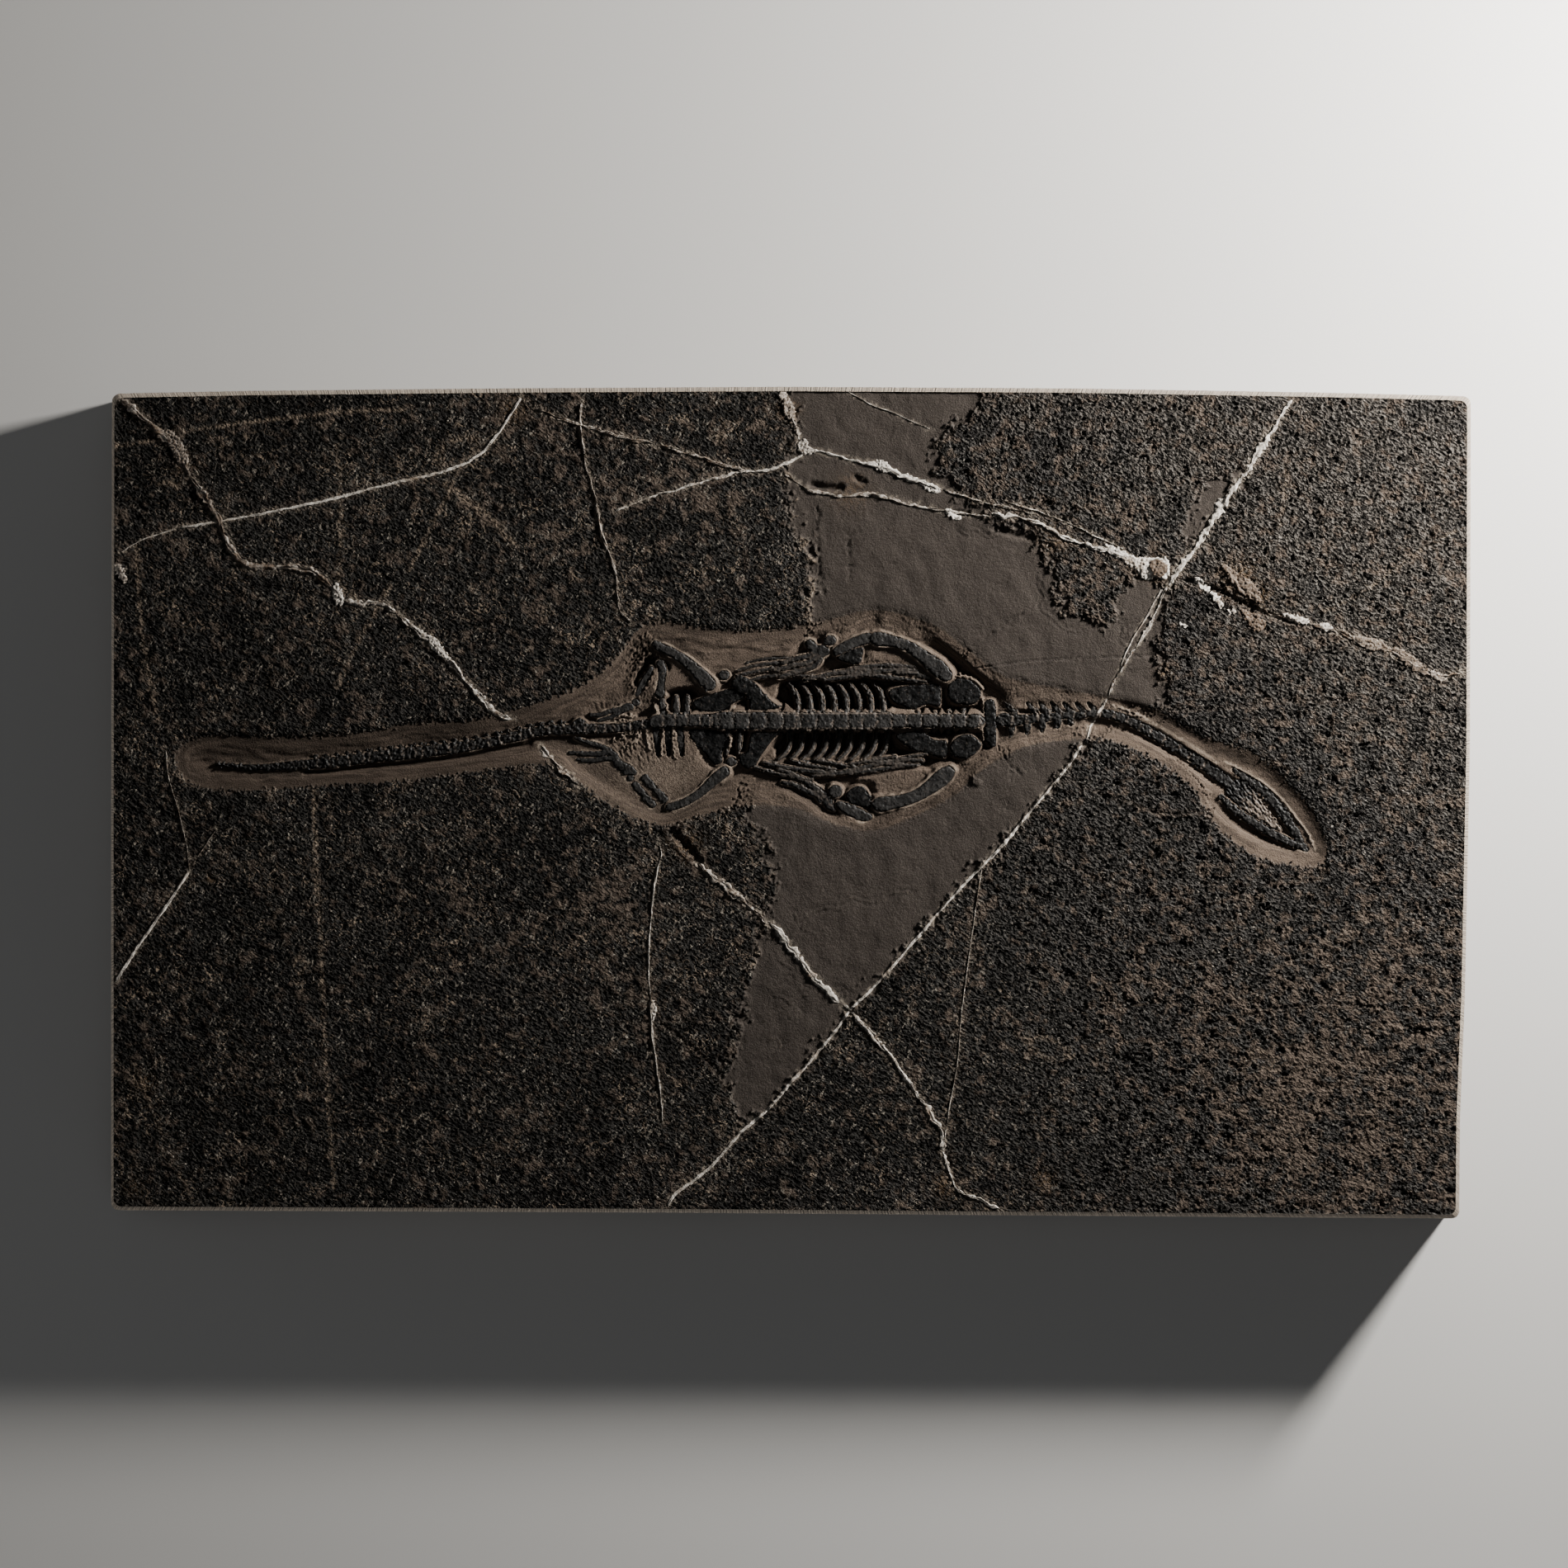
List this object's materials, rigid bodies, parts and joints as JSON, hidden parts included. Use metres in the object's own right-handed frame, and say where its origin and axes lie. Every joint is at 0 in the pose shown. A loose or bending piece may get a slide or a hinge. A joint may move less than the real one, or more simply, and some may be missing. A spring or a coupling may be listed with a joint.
{
  "type": "fossil marine reptile skeleton in a stone slab",
  "caption": "Keichousaurus fossil: a long-necked reptile skeleton lying belly up in a prepared trough in a rectangular slab of dark, calcite-veined limestone.",
  "frame": {"origin": "middle of the slab's flat underside", "axes": "+X along the slab towards the head end, +Y across the slab, +Z out of the fossil face"},
  "size_m": [0.33, 0.202, 0.0209],
  "materials": {
    "limestone": "rough dark limestone with a grainy pitted crust, a smooth flaked patch, a scraped beige trough and off-white calcite veins",
    "bone": "charcoal fossil bone with a faint satin gloss and pale matrix along its edges",
    "thin_bone": "thin black-brown fossil bone, dull"
  },
  "bodies": {
    "root": {"slab": "limestone", "skull": "bone", "lower_jaw": "thin_bone", "neck": "bone", "trunk": "bone", "tail": "bone", "clavicle": "bone", "scapula_upper": "bone", "scapula_lower": "bone", "coracoid_upper": "bone", "coracoid_lower": "bone", "humerus_upper": "bone", "humerus_lower": "bone", "radius_upper": "bone", "radius_lower": "bone", "ulna_upper": "bone", "ulna_lower": "bone", "wrist_bone_upper": "bone", "wrist_bone_lower": "bone", "hand_upper": "thin_bone", "hand_lower": "thin_bone", "gastralia_upper": "thin_bone", "gastralia_lower": "thin_bone", "pubis_upper": "bone", "pubis_lower": "bone", "ischium_upper": "bone", "ischium_lower": "bone", "ilium_upper": "bone", "ilium_lower": "bone", "femur_upper": "bone", "femur_lower": "bone", "tibia_upper": "bone", "tibia_lower": "bone", "fibula_upper": "bone", "fibula_lower": "bone", "ankle_bone_upper": "bone", "ankle_bone_lower": "bone", "foot_upper": "thin_bone", "foot_lower": "thin_bone"}
  },
  "joints": []
}
